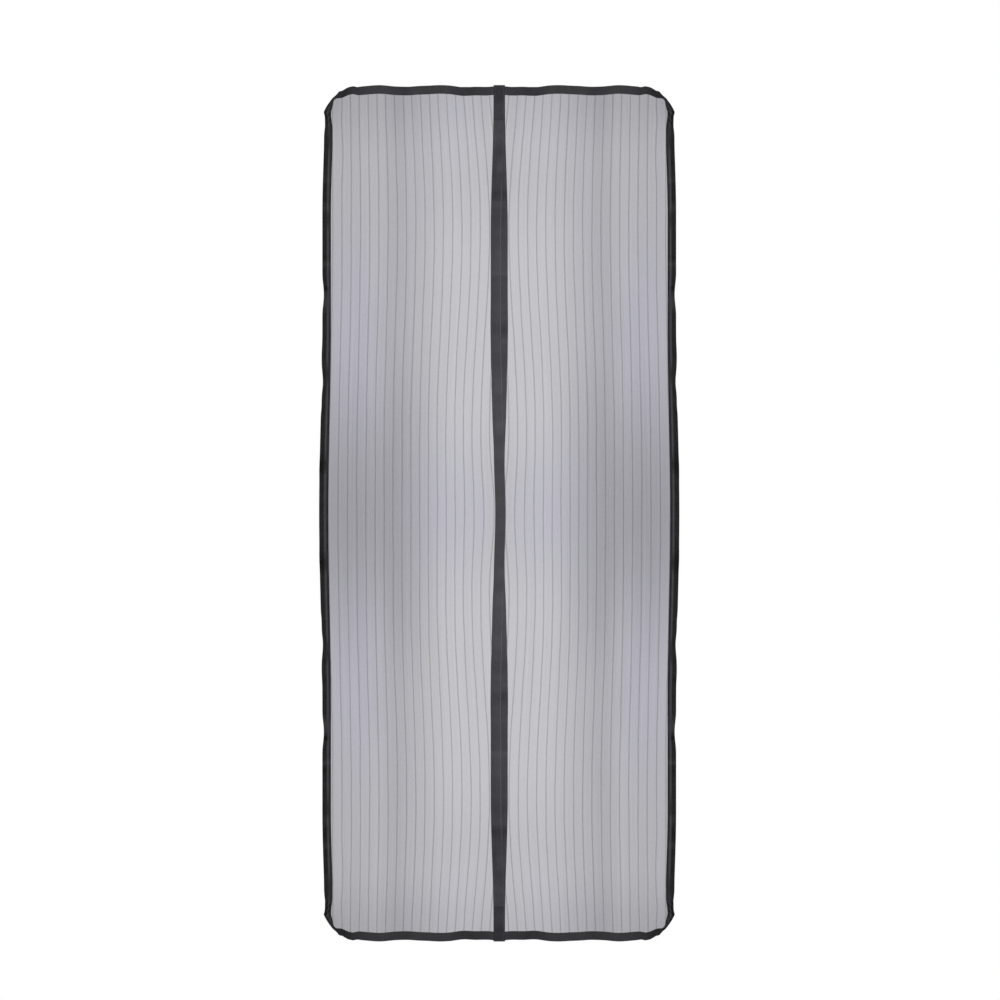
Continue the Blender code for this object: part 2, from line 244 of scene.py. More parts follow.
# The same for the strength of the raised line, and for the tones of the side and centre tapes
RIB_BREAKS = (
    (0.688, -0.8, 0.04), (0.496, -0.85, 0.038), (0.325, -0.95, 0.042),
    (0.115, -0.7, 0.038),
)
# Of the side tape's tones, the dark marks at 0.926 and 0.526 are painted shade in the puckered folds near
# the corner and in the crease of a tuck
SIDE_SHADES = (
    (0.926, -0.12, 0.022), (0.752, -0.04, 0.03), (0.716, 0.11, 0.016),
    (0.6, -0.05, 0.016), (0.526, -0.14, 0.01), (0.496, 0.2, 0.034),
    (0.115, -0.11, 0.04),
)
CENTRE_SHADES = (
    (0.64, -0.06, 0.26), (0.985, -0.05, 0.06), (0.953, 0.04, 0.036),
    (0.9, -0.05, 0.045), (0.845, -0.1, 0.04), (0.778, -0.08, 0.042),
    (0.709, -0.03, 0.012), (0.692, -0.04, 0.03), (0.603, 0.045, 0.05),
    (0.432, -0.09, 0.022), (0.362, -0.05, 0.026), (0.295, 0.07, 0.03),
    (0.243, 0.04, 0.022), (0.205, 0.08, 0.034), (0.14, 0.04, 0.026),
)
RIGHT_SHADES = ((0.428, -0.07, 0.022), (0.401, 0.09, 0.008))
# Where a tone starts and stops at a seam: from one share of the height to another
CENTRE_BANDS = (
    (0.922, 1.01, -0.16), (0.733, 0.745, -0.12), (0.559, 0.563, 0.09),
)
BAND_START = 0.004
BAND_END = 0.032


def fade(value, full, none):
    """Falls from 1 to 0 with level ends as value goes from full to none."""
    left = np.clip((none - value) / (none - full), 0.0, 1.0)
    return left * left * (3 - 2 * left)


def hump(value, middle, reach):
    """A raised cosine: 1 at its middle, and nothing a reach away from that or further."""
    return 0.5 + 0.5 * np.cos(np.pi * np.minimum(np.abs((value - middle) / reach), 1.0))


def marks(value, places):
    """The sum of humps of a given size and run at the given places."""
    return sum(size * hump(value, place, run) for place, size, run in places)


def steps(value, places):
    """The sum of level steps of a given size, each fading from one value to another."""
    return sum(size * fade(value, full, none) for size, full, none in places)


def bands(value, places):
    """The sum of level bands from one value to another, soft above and sharp below."""
    return sum(
        size * fade(value, low, low - BAND_START) * fade(value, high, high + BAND_END)
        for low, high, size in places
    )


def wander(place, pitch, seed):
    """A slow irregular rise and fall between about -1 and 1."""
    turn = 2 * np.pi * place / pitch
    slow = np.sin(turn + seed) + 0.6 * np.sin(2.3 * turn + 2.1 * seed)
    return (slow + 0.4 * np.sin(4.1 * turn + 3.7 * seed)) / 1.5


def waves(spot, places):
    """Irregular waves along a tape: the size, pitch, seed, slant and span across the tape of each."""
    total = 0
    for size, pitch, seed, slant, *span in places:
        wave = size * wander(spot.along + slant * spot.share, pitch, seed)
        total = total + (wave * hump(spot.share, *span) if span else wave)
    return total


def light_level(level):
    """The amount of light behind a level seen on screen, both from 0 to 1."""
    return np.where(level <= 0.04045, level / 12.92, ((level + 0.055) / 1.055) ** 2.4)


def height_share(z):
    """How far up or down a height lies, from 0 at mid-height to 1 at the top or the bottom."""
    return np.abs(z) / HALF_HEIGHT


def side_line(z):
    """Outer fold of a side tape before its tucks."""
    share = height_share(z)
    swell = SIDE_SWELL * fade(share, *SHOULDER_ENDS) + MIDDLE_SWELL * fade(share, 0, SWELL_END)
    return LEAF_WIDTH + swell


def side_edge(z):
    """Outer fold of a side tape."""
    return side_line(z) + marks(height_share(z), SIDE_TUCKS)


def side_inner(z):
    """Inner edge of a side tape, which the tucks don't move."""
    share = height_share(z)
    width = SIDE_TAPE + SIDE_TAPE_SWELL * fade(share, 0, SWELL_END)
    pinch = CORNER_PINCH * (1 - fade(share, *PINCH_ENDS))
    return side_line(z) - width + pinch - CORNER_LIP * hump(share, *CORNER_LIP_SPAN)


def top_edge(x):
    """Outer fold of a top tape, which rises and falls between its stitches."""
    return HALF_HEIGHT + TOP_RIPPLE * np.cos(2 * np.pi * x / TOP_RIPPLE_PITCH) + marks(x, TOP_TUCKS)


def lap_edge(leaf, z):
    """Where the net leaves the centre tape: the lap is widest at the quarter heights."""
    share = height_share(z)
    edge = LAP_TOP + (LAP_WIDE - LAP_TOP) * fade(share, *LAP_UPPER_ENDS)
    edge = edge - (LAP_WIDE - LAP_MIDDLE) * fade(share, *LAP_LOWER_ENDS)
    return edge + leaf["side"] * LAP_DRIFT * hump(share, 0, LAP_DRIFT_END) + marks(share, LAP_TUCKS)


def leaf_y(leaf, x):
    """Depth of a leaf's middle plane: the left one steps forward near the centre line."""
    return -LEAF_DEPTH - leaf["step"] * fade(x, STEP_START - STEP_RUN, STEP_START)


def smooth_run(pairs, stations):
    """Outer and inner points run through a corner's pairs to a station, the kinks a little rounded."""
    points = np.array([*pairs, [side[0] for side in stations]])
    along = lengths_along(points.mean(axis=1))
    places = np.linspace(0, along[-1], int(along[-1] / CORNER_STATION) + 1)
    run = np.stack(
        [[np.interp(places, along, points[:, side, axis]) for axis in (0, 1)] for side in (0, 1)]
    ).transpose(0, 2, 1)
    run[:, 1:-1] = (run[:, :-2] + 2 * run[:, 1:-1] + run[:, 2:]) / 4
    return [run[0, :-1], run[1, :-1]]


def side_stations(heights):
    """Outer and inner edge points of the side tape at one or more heights."""
    heights = np.atleast_1d(heights)
    edges = side_edge(heights), side_inner(heights)
    return [np.column_stack((edge, heights)) for edge in edges]


def top_stations(places):
    """Outer and inner edge points of the top tape at one or more places."""
    places = np.atleast_1d(places)
    top = top_edge(places)
    return [np.column_stack((places, top)), np.column_stack((places, top - TOP_TAPE))]


def joined(*runs):
    """Runs of stations, each outer and inner points, put end to end."""
    return [np.concatenate([run[i] for run in runs]) for i in (0, 1)]


def stripe_rest_places():
    """Places of the woven stripes where the net hangs undisturbed, from the outside in."""
    first = LEAF_WIDTH - STRIPE_START
    count = int((first - LAP_TOP) / STRIPE_PITCH) + 1
    return [first - STRIPE_PITCH * i for i in range(count)]


def stripe_place(leaf, rest, z):
    """Where a warp thread lies at height z, drawn to and fro as the net hangs."""
    share = height_share(z)
    inward = np.clip(1 - rest / (LEAF_WIDTH - STRIPE_START), 0, 1)
    x = rest - STRIPE_PULL_IN * inward**PULL_POWER * hump(share, *PULL_SPAN)
    x = x + STRIPE_BOW_OUT * (1 - inward) ** BOW_POWER * fade(share, 0, BOW_END)
    x = x - STRIPE_NIP * inward**STRIPE_NIP_POWER * hump(share, 0, STRIPE_NIP_END)
    x = x + HEAD_SPREAD * inward**2 * fade(share, 1, SPREAD_END)
    x = x + marks(share, STRIPE_KINKS) * hump(rest, KINKED_STRIPE, STRIPE_PITCH)
    return np.maximum(x, lap_edge(leaf, z) - CENTRE_HEM + 3 * YARN + HIDDEN_SPREAD * rest)


def net_y(leaf, x, z):
    """Depth of the net: soft upright folds, which fade out towards the tapes all round."""
    across = np.clip((x - WAVE_MARGIN) / (LEAF_WIDTH - 2 * WAVE_MARGIN), 0, 1)
    depth = WAVE_DEPTH * fade(height_share(z), WAVE_FADE, 1)
    return leaf_y(leaf, x) - depth * np.sin(np.pi * WAVES * across) ** 2


# Making pieces


def add_object(name, data):
    """An object with that data, in the scene."""
    item = bpy.data.objects.new(name, data)
    bpy.context.scene.collection.objects.link(item)
    return item


def add_piece(name, points, faces, materials, uv, turned=False, indices=None, values=None):
    """A mesh piece from points measured from mid-height, riding on the curtain's one body.

    uv is each point's place on the flat cloth in metres, and turned says that faces run the other way.
    """
    points = np.array(points, dtype=float)
    points[:, 2] += MIDDLE
    mesh = bpy.data.meshes.new(name)
    mesh.from_pydata(points.tolist(), [], [face[::-1] if turned else face for face in faces])
    for material in materials:
        mesh.materials.append(material)
    if indices is not None:
        mesh.polygons.foreach_set("material_index", indices)
    corner = np.empty(len(mesh.loops), dtype=np.int32)
    mesh.loops.foreach_get("vertex_index", corner)
    layer = mesh.uv_layers.new(name="cloth")
    layer.data.foreach_set("uv", np.asarray(uv, dtype=np.float32)[corner].ravel())
    for label, value in (values or {}).items():
        attribute = mesh.attributes.new(label, "FLOAT", "POINT")
        attribute.data.foreach_set("value", np.asarray(value, dtype=np.float32).ravel())
    mesh.validate()
    mesh.shade_smooth()
    mesh.set_sharp_from_angle(angle=CREASE)
    piece = add_object(name, mesh)
    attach(piece, "root")
    return piece


def grid_faces(rows, columns, closed=False):
    """Quads between the points of a grid stored row by row, its rows closed on themselves or open."""
    faces = []
    for row in range(rows - 1):
        for column in range(columns if closed else columns - 1):
            left = row * columns + column
            right = row * columns + (column + 1) % columns
            faces.append((left, right, right + columns, left + columns))
    return faces


def tube_faces(rows, columns):
    """The faces of a tube made of closed rows, with a flat face at each end."""
    first = tuple(range(columns))
    last = tuple(range((rows - 1) * columns, rows * columns))
    return grid_faces(rows, columns, closed=True) + [first[::-1], last]


def lengths_along(points):
    """Distance run along a line of points, from its start."""
    return np.concatenate(([0.0], np.cumsum(np.linalg.norm(np.diff(points, axis=0), axis=1))))


# Folded tapes

# Where a tape's skins have points, as shares of the way from fold to open edge, closest at the fold
INNER_SHARES = (0.06, 0.3, 0.6, 0.85, 1.0)
OUTER_SHARES = (
    1.0, 0.985, 0.94, 0.89, 0.84, 0.8, 0.76, 0.72, 0.68, 0.64, 0.6,
    0.56, 0.5, 0.42, 0.34, 0.26, 0.18, 0.12, 0.08, 0.05, 0.025, 0.008,
)
NOSE_ROUND = 0.9


def tape_section():
    """A tape's cross-section as shares, faces (-1 front, 1 back) and skins (1 outer, 0 inner)."""
    half = [*INNER_SHARES, *OUTER_SHARES]
    shares = np.array([*half, 0.0, *half[::-1]])
    faces = np.repeat((-1.0, 0.0, 1.0), (len(half), 1, len(half)))
    skins = np.ones(len(shares))
    skins[: len(INNER_SHARES)] = 0
    skins[-len(INNER_SHARES) :] = 0
    return shares, faces, skins


def make_tape(leaf, way, stations, depth, lift, shade, turned):
    """A folded tape's shape, from stations of outer and inner points and its depth at each.

    lift(spot) is how far the cloth stands off the tape's middle plane and shade(spot) how light it is,
    where spot has the share from fold to open edge, the distance along, the place and height, the face.
    """
    outer, inner = (points * (1, way) for points in stations)
    return SimpleNamespace(
        leaf=leaf, outer=outer, inner=inner, along=lengths_along((outer + inner) / 2), depth=depth,
        lift=lift, shade=shade, width=np.linalg.norm(outer - inner, axis=1), turned=turned,
    )


def tape_points(tape, shares, faces, skins):
    """Points of a tape's grid, stations by section, and how light each is."""
    place = tape.outer[:, None] + (tape.inner - tape.outer)[:, None] * shares[None, :, None]
    across, along = np.broadcast_arrays(shares[None], tape.along[:, None])
    height = np.broadcast_to(place[:, :1, 1], along.shape)
    spot = SimpleNamespace(
        leaf=tape.leaf, share=across, along=along, x=place[..., 0], z=height, face=faces[None]
    )
    gap = tape.lift(spot)
    outside = gap + TAPE_PLY
    reach = across * tape.width[:, None] / (NOSE_ROUND * outside)
    rounding = np.sqrt(np.clip(1 - (1 - np.minimum(reach, 1)) ** 2, 0, 1))
    offset = np.where(skins[None] > 0, outside * rounding, gap)
    y = tape.depth[:, None] + faces[None] * offset
    shade = np.broadcast_to(tape.shade(spot), along.shape)
    return np.stack((tape.leaf["side"] * place[..., 0], y, place[..., 1]), axis=-1), shade


def add_tape(name, tape, material):
    """The mesh of a folded tape, closed at both ends."""
    shares, faces, skins = tape_section()
    points, shade = tape_points(tape, shares, faces, skins)
    rows, columns = points.shape[:2]
    flat = np.concatenate(([0.0], np.cumsum(np.abs(np.diff(shares)) * SIDE_TAPE)))
    uv = np.stack((np.repeat(tape.along[:, None], columns, 1), np.repeat(flat[None], rows, 0)), axis=-1)
    return add_piece(
        name, points.reshape(-1, 3), tube_faces(rows, columns), [material],
        uv=uv.reshape(-1, 2), turned=tape.turned, values={"shade": shade},
    )


# Relief of the tapes, in metres. Waves are size, pitch, seed and slant, then the middle and reach of their
# span, as shares from fold to open edge. Ends are where a thing is full and gone
PRESSED = 0.0004
PRESSED_ENDS = (1.0, 0.65)
PRESSED_BEHIND = 0.3
RELIEF_BEHIND = 0.15
SEAM_GROOVE = 0.00012
SEAM_GROOVE_REACH = 0.05
RIB = ((0.64, 0.00045, 0.16),)
RIB_FAINT = 0.2
SIDE_PUCKER = ((0.00016, 0.034, 1.3, 0.0, 0.4, 0.6),)
SIDE_GATHER = ((0.0003, 0.019, 0.6, 0.5 * SIDE_TAPE, 0.5, 0.5),)
SIDE_GATHER_ENDS = (0.94, 0.88)
SIDE_DENT = ((0.526, -0.00035, 0.01),)
SIDE_DENT_SPAN = (0.35, 0.3)
TOP_PUCKER = ((0.0002, 0.041, 2.7, 0.0, 0.45, 0.6),)
TOP_GATHER = ((0.0004, 0.017, 2.2, -0.4 * TOP_TAPE, 0.5, 0.55),)
TOP_GATHER_ENDS = (0.372, 0.345)
NECK_ENDS = (0.396, 0.378)
CENTRE_PUCKER = ((0.00014, 0.052, 0.9, 0.0, 0.4, 0.6),)
CROSS_GROOVE = ((POCKET_SEAM, -0.00015, 0.0022),)


def press(spot):
    """How far the plies close on the net towards their open edge, mostly the front one."""
    return -PRESSED * fade(spot.share, *PRESSED_ENDS) * np.where(spot.face < 0, 1.0, PRESSED_BEHIND)


def edge_tape_lift(spot, relief):
    """How far an edge tape stands off the net, its seams as shallow grooves and most relief in front."""
    grooves = -SEAM_GROOVE * sum(hump(spot.share, seam, SEAM_GROOVE_REACH) for seam in EDGE_SEAMS)
    front = np.where(spot.face < 0, 1.0, RELIEF_BEHIND)
    return HEM_GAP + press(spot) + (relief + grooves) * front


def side_rib(level):
    """How strongly the raised line on the side tape shows."""
    strength = RIB_FAINT + (1 - RIB_FAINT) * fade(level, *RIB_ENDS)
    return np.clip(strength + marks(level, RIB_BREAKS), 0, 1)


def side_lift(spot):
    """Side tape: a raised line where it is sewn to the strip behind, and puckers between stitches."""
    level = height_share(spot.z)
    rib = marks(spot.share, RIB) * side_rib(level)
    gather = waves(spot, SIDE_GATHER) * fade(level, *SIDE_GATHER_ENDS)
    dent = marks(level, SIDE_DENT) * hump(spot.share, *SIDE_DENT_SPAN)
    return edge_tape_lift(spot, rib + waves(spot, SIDE_PUCKER) + gather + dent)


def top_lift(spot):
    """Top and bottom tapes: nearly flat, with slight puckers, and over the side tape at the neck."""
    relief = waves(spot, TOP_PUCKER) + waves(spot, TOP_GATHER) * fade(spot.x, *TOP_GATHER_ENDS)
    return edge_tape_lift(spot, relief) + NECK_OVERLAP * fade(spot.x, *NECK_ENDS)


# Tones of the tapes, from 0 dark to 1 light: marks are place, size and run, steps are size and ends
SIDE_TONE = 0.12
SIDE_SHADES_ENDS = (0.55, 1.0)
# The side tape's raised line is lightened as a painted highlight, where it catches the light
RIB_HIGHLIGHT = ((0.635, 0.5, 0.2),)
INNER_TONE = ((0.82, 0.07, 0.12),)
PLAIN_TONE = ((0.08, 0.45, 0.3),)
SIDE_SPECKS = ((0.022, 0.047, 0.4, 0.0),)
RIB_SPECKS = ((0.03, 0.013, 2.0, 0.4 * SIDE_TAPE),)
SIDE_CROSS_SEAMS = ((0.779, 0.2, 0.006), (0.582, 0.22, 0.006))
# Near the corner: painted highlights along the crests of the folds, and a painted highlight on a ridge down
# the middle of the tape with painted shade towards its open edge
CORNER_FOLDS = ((1.0, 0.009, 1.7, -SIDE_TAPE),)
CORNER_FOLD_HIGHLIGHT = ((0.925, 0.16, 0.03),)
CORNER_FOLD_ENDS = (0.95, 0.35)
CORNER_RIDGE_SHADING = ((0.5, 0.36, 0.12), (0.84, -0.12, 0.24))
CORNER_RIDGE_WAVES = ((0.18, 0.0145, 0.9, 0.9 * SIDE_TAPE),)
CORNER_RIDGE_SPAN = (0.93, 0.055)
TOP_TONE = 0.375
# Painted highlights where the top edge rises between stitches
TOP_CREST_HIGHLIGHT = 0.06
TOP_CREST_HIGHLIGHT_ENDS = (0.32, 0.37)
TOP_CORNER_TONE = ((-0.2, 0.385, 0.335),)
# Painted shade in the tuck about 90 mm out from the centre line
TOP_FOLD_SHADE = ((0.0905, -0.1, 0.006),)
TOP_FOLD_SHADE_ENDS = (1.0, 0.2)
# A painted highlight where the edge rises at the tuck about 200 mm out
TOP_LIGHT = ((0.203, 0.11, 0.04),)
TOP_SPECKS = ((0.02, 0.039, 0.7, 0.0),)
CENTRE_TONE = 0.4
CENTRE_SHADES_DRIFT = (0.4, 1.3, 0.5)
CROSS_TONE = ((POCKET_SEAM, 0.035, 0.003),)
# A painted highlight along the left centre tape's fold, fainter near mid-height and towards the top and
# bottom
FOLD_HIGHLIGHT = ((0.9, 0.0, 0.065),)
FOLD_FAINTER = ((-0.55, 0.78, 0.74), (-0.6, 0.17, 0.24))
CENTRE_SLOPE = ((0.6, 0.05, 0.34),)
DARK_HEM = ((0.81, -0.09, 0.05),)
DARK_HEM_ENDS = (0.75, 0.4)
CENTRE_SPECKS = ((0.018, 0.06, 1.1, 0.0), (0.016, 0.017, 2.3, 0.03))
# Painted light on the right centre tape just beside where the left one's fold lies over it, lifting the
# shade that the fold casts
STEP_SHADOW_FILL = ((0.0012, 0.2, 0.003),)
RIGHT_LIGHTER = ((0.09, 0.22, 0.32),)
RIGHT_LIGHTER_FOOT = (0.068, 0.058)


def side_shade(spot):
    """Side tape: dark outside, a painted highlight on its raised line, a dark inner edge, and painted
    highlights and shade on the folds where it nears a corner.
    """
    level = height_share(spot.z)
    strength = side_rib(level)
    rib = marks(spot.share, RIB_HIGHLIGHT) * strength + marks(spot.share, INNER_TONE)
    plain = steps(spot.share, PLAIN_TONE) * (1 - strength)
    outer = SIDE_TONE + marks(level, SIDE_SHADES) * fade(spot.share, *SIDE_SHADES_ENDS)
    speck = waves(spot, SIDE_SPECKS) + waves(spot, RIB_SPECKS) * strength
    folds = marks(level, CORNER_FOLD_HIGHLIGHT) * np.clip(waves(spot, CORNER_FOLDS), 0, 1) ** 2
    folds = folds * fade(spot.share, *CORNER_FOLD_ENDS)
    ridge = marks(spot.share, CORNER_RIDGE_SHADING) + waves(spot, CORNER_RIDGE_WAVES)
    ridge = ridge * hump(level, *CORNER_RIDGE_SPAN)
    return outer + rib + plain + speck + marks(level, SIDE_CROSS_SEAMS) + folds + ridge


def top_shade(spot):
    """Top and bottom tapes: an even dark grey, with painted highlights where the edge rises and painted
    shade in one tuck, and darker at the corner.
    """
    crest = TOP_CREST_HIGHLIGHT * np.cos(2 * np.pi * spot.x / TOP_RIPPLE_PITCH) * fade(spot.x, *TOP_CREST_HIGHLIGHT_ENDS)
    fold_shading = marks(spot.x, TOP_FOLD_SHADE) * fade(spot.share, *TOP_FOLD_SHADE_ENDS)
    tone = TOP_TONE + steps(spot.x, TOP_CORNER_TONE) + marks(spot.x, TOP_LIGHT)
    return tone + crest + fold_shading + waves(spot, TOP_SPECKS)


def magnet_heights():
    """Heights of the magnets' middles, from the top down."""
    reach = HALF_HEIGHT - MAGNET_END_INSET
    return np.linspace(reach, -reach, MAGNETS)


def magnet_distance(z):
    """Distance up or down from each height to the nearest magnet's middle."""
    return np.min(np.abs(np.asarray(z)[..., None] - magnet_heights()), axis=-1)


def centre_bulge(spot):
    """Where the centre tape is lifted: over each magnet, and over the ends of the other tapes."""
    half = MAGNET_LENGTH / 2 + CLEARANCE
    pocket = fade(magnet_distance(spot.z), half, half + BULGE_RUN)
    pocket = pocket * fade(spot.share * CENTRE_TAPE, MAGNET_POCKET, MAGNET_POCKET + BULGE_RUN)
    hem = TOP_TAPE + TOP_RIPPLE
    return np.maximum(pocket, fade(HALF_HEIGHT - np.abs(spot.z), hem, hem + BULGE_RUN))


def centre_lift(spot):
    """Centre tape: swollen over the magnets, pressed together between them, gathered at cross seams."""
    bulge = centre_bulge(spot)
    relief = press(spot) + waves(spot, CENTRE_PUCKER) + marks(magnet_distance(spot.z), CROSS_GROOVE)
    return HEM_GAP + (FULL_GAP - HEM_GAP) * bulge + relief * (1 - bulge)


def centre_shade(spot):
    """Centre tape: grey, darker at the head, with faint bands across at the magnets' seams.

    The left one has a painted highlight along its fold, and the right one painted light where that fold
    lies on it, lifting the shade that the fold casts there.
    """
    level = height_share(spot.z)
    drift, pitch, seed = CENTRE_SHADES_DRIFT
    tone = CENTRE_TONE + marks(level, CENTRE_SHADES) * (1 + drift * wander(spot.share, pitch, seed))
    tone = tone + bands(level, CENTRE_BANDS) + marks(magnet_distance(spot.z), CROSS_TONE)
    tone = tone + waves(spot, CENTRE_SPECKS)
    if spot.leaf["step"] == 0:
        behind = spot.x + lap_edge(spot.leaf, spot.z) - CENTRE_TAPE
        lighter = steps(level, RIGHT_LIGHTER) * fade(level, *RIGHT_LIGHTER_FOOT)
        return tone + marks(behind, STEP_SHADOW_FILL) + lighter + marks(level, RIGHT_SHADES)
    fold_shading = steps(spot.share, FOLD_HIGHLIGHT) * (1 + steps(level, FOLD_FAINTER))
    slope = (1 - 2 * spot.share) * marks(level, CENTRE_SLOPE)
    return tone + fold_shading + slope + marks(level, DARK_HEM) * fade(spot.share, *DARK_HEM_ENDS)


def side_tape(leaf):
    """The tape down a leaf's outer side, tapering into both corners."""
    upper = smooth_run(SIDE_CORNER, side_stations(SIDE_CORNER_END))
    rows = int(SIDE_CORNER_END / STATION) * 2 + 1
    middle = side_stations(np.linspace(SIDE_CORNER_END, -SIDE_CORNER_END, rows))
    lower = [points[::-1] * (1, -1) for points in upper]
    stations = joined(upper, middle, lower)
    depth = np.full(len(stations[0]), -LEAF_DEPTH)
    return make_tape(leaf, 1, stations, depth, side_lift, side_shade, leaf["side"] > 0)


def end_tape(leaf, way):
    """The tape along a leaf's top (way 1) or bottom (way -1), its inner end inside the centre tape."""
    last = float(lap_edge(leaf, HALF_HEIGHT)) - CENTRE_HEM
    places = np.linspace(TOP_CORNER_END, last, int((TOP_CORNER_END - last) / STATION))
    corner = smooth_run(TOP_CORNER, top_stations(TOP_CORNER_END))
    stations = joined(corner, top_stations(places))
    depth = leaf_y(leaf, stations[0][:, 0])
    return make_tape(leaf, way, stations, depth, top_lift, top_shade, leaf["side"] * way < 0)


def centre_tape(leaf):
    """The tape down a leaf's inner edge, folded round the magnets, over the ends of the others."""
    end = HALF_HEIGHT + TOP_RIPPLE
    heights = np.linspace(end, -end, int(2 * end / (STATION / 2)))
    edge = lap_edge(leaf, heights)
    stations = [np.column_stack((edge - CENTRE_TAPE, heights)), np.column_stack((edge, heights))]
    depth = np.full(len(heights), -LEAF_DEPTH - leaf["step"])
    return make_tape(leaf, 1, stations, depth, centre_lift, centre_shade, leaf["side"] < 0)


# Sewing


def seam_line(tape, share, face, inset):
    """Points along a tape's outer skin at one share of its width, short of both ends."""
    points, _ = tape_points(tape, np.array([share]), np.array([face]), np.array([1.0]))
    inside = (tape.along >= inset) & (tape.along <= tape.along[-1] - inset)
    return points[inside, 0]


def cross_seam(tape, height, face):
    """Points across the centre tape's outer skin at one height, as far as the pockets' side seam."""
    shares = np.linspace(CROSS_SEAM_START, POCKET_SIDE_SEAM, CROSS_SEAM_POINTS)
    row = int(np.argmin(np.abs(tape.outer[:, 1] - height)))
    points, _ = tape_points(tape, shares, np.full(len(shares), face), np.ones(len(shares)))
    return points[row]


def stitch_points(line, face):
    """Each stitch on a seam as four rings of four points, its ends sunk in the cloth."""
    run = lengths_along(line)
    count = max(int(run[-1] / (STITCH + STITCH_GAP)), 1)
    shares, rises, girths = np.transpose(STITCH_RINGS)
    out = np.array([0.0, face, 0.0])
    points = []
    for start in (np.arange(count) + STITCH_START) * (run[-1] / count):
        at = start + shares * STITCH
        centre = np.column_stack([np.interp(at, run, line[:, i]) for i in range(3)])
        ahead = centre[-1] - centre[0]
        ahead /= np.linalg.norm(ahead)
        across = np.cross(ahead, out)
        for point, rise, girth in zip(centre, rises, girths):
            for way in (across, out, -across, -out):
                points.append(point + (out * rise + way * girth) * THREAD / 2)
    return points


def add_stitches(name, seams):
    """All the stitches of some seams as one piece, each stitch a small closed body."""
    points = [point for line, face in seams for point in stitch_points(line, face)]
    rings = len(STITCH_RINGS)
    body = tube_faces(rings, THREAD_SIDES)
    starts = range(0, len(points), rings * THREAD_SIDES)
    faces = [tuple(start + i for i in face) for start in starts for face in body]
    places = [(i, row) for row in range(rings) for i in range(THREAD_SIDES)]
    flat = [(THREAD * i / 2, STITCH * row / (rings - 1)) for i, row in places] * len(starts)
    return add_piece(name, points, faces, [MATERIALS["thread"]], flat, turned=True)


# The net

# Greys of the net against white, from 0 to 255, at the outer tape and towards the centre. A step is its
# size and the shares of the height where it is full and gone
OUTER_GREY = 158
OUTER_STEPS = ((21, 0.45, 0.0), (-12, 1.0, 0.82))
INNER_GREY = 188
INNER_STEPS = ((8, 0.28, 0.0), (-6, 0.8, 0.58), (-9, 1.0, 0.84))
# How far the inner grey reaches outwards, and how much further at mid-height
INWARD_ENDS = (0.1, 0.245)
INWARD_WIDER = 0.045
MIDDLE_REACH = 0.35
# Upright streaks: place, size and run. The dark one is gone at mid-height, and the light one about the
# share of the height and reach that follow
DARK_STREAKS = ((0.255, 4, 0.045),)
LIGHT_STREAKS = ((0.304, 3.5, 0.052),)
LIGHT_STREAK_GONE = (0.43, 0.14)
CORNER_FALL = ((6, 0.41, 0.37),)
CORNER_FALL_ENDS = (0.98, 0.88)
THREAD_LIT = 0.075
# Patches with a violet cast: its strength, the share of the height and the place, each with its reach
VIOLET = (
    (1.0, 0.42, 0.42, 0.35, 0.12),
    (0.7, 0.00, 0.36, 0.11, 0.13),
    (0.8, 0.00, 0.1, 0.08, 0.09),
    (0.4, 0.9, 0.14, 0.1, 0.09),
)
INNER_VIOLET = ((0.3, 0.2, 0.3),)


def net_grey(x, z):
    """How grey the net looks: lighter inwards, darker at the outer side and most at mid-height, with
    upright streaks and darker outer corners.
    """
    share = height_share(z)
    outer = OUTER_GREY + steps(share, OUTER_STEPS)
    inner = INNER_GREY + steps(share, INNER_STEPS)
    middle = hump(share, 0, MIDDLE_REACH)
    inward = fade(x, INWARD_ENDS[0], INWARD_ENDS[1] + INWARD_WIDER * middle)
    slack = marks(x, DARK_STREAKS) * (1 - middle)
    thin = marks(x, LIGHT_STREAKS) * (1 - hump(share, *LIGHT_STREAK_GONE))
    corner = steps(x, CORNER_FALL) * fade(share, *CORNER_FALL_ENDS)
    return outer + (inner - outer) * inward + thin - slack - corner


def thread_cover(grey):
    """Share of the surface that dark thread covers for the net to look that grey before white."""
    return (1 - light_level(grey / 255)) / (1 - THREAD_LIT)


def net_violet(x, z):
    """Where the thread takes on a violet cast: down the outer side, and at mid-height inwards."""
    share = height_share(z)
    cast = steps(x, INNER_VIOLET)
    for strength, level, rise, place, reach in VIOLET:
        cast = cast + strength * hump(share, level, rise) * hump(x, place, reach)
    return np.clip(cast, 0, 1)


def net_top():
    """The upper edge of the net as places and heights, from the centre out to the side."""
    along = top_stations(np.linspace(-CENTRE_TAPE, TOP_CORNER_END, NET_TOP_POINTS))
    over = [points[::-1] for points in smooth_run(TOP_CORNER, top_stations(TOP_CORNER_END))]
    down = smooth_run(SIDE_CORNER, side_stations(SIDE_CORNER_END))
    down = [points[points[:, 1] > CORNER_POINT] for points in down]
    count = min(len(points) for points in down)
    outer, inner = joined(along, over, [points[:count] for points in down])
    edge = outer + (inner - outer) * HEM_SHARE
    order = np.argsort(edge[:, 0])
    return edge[order].T


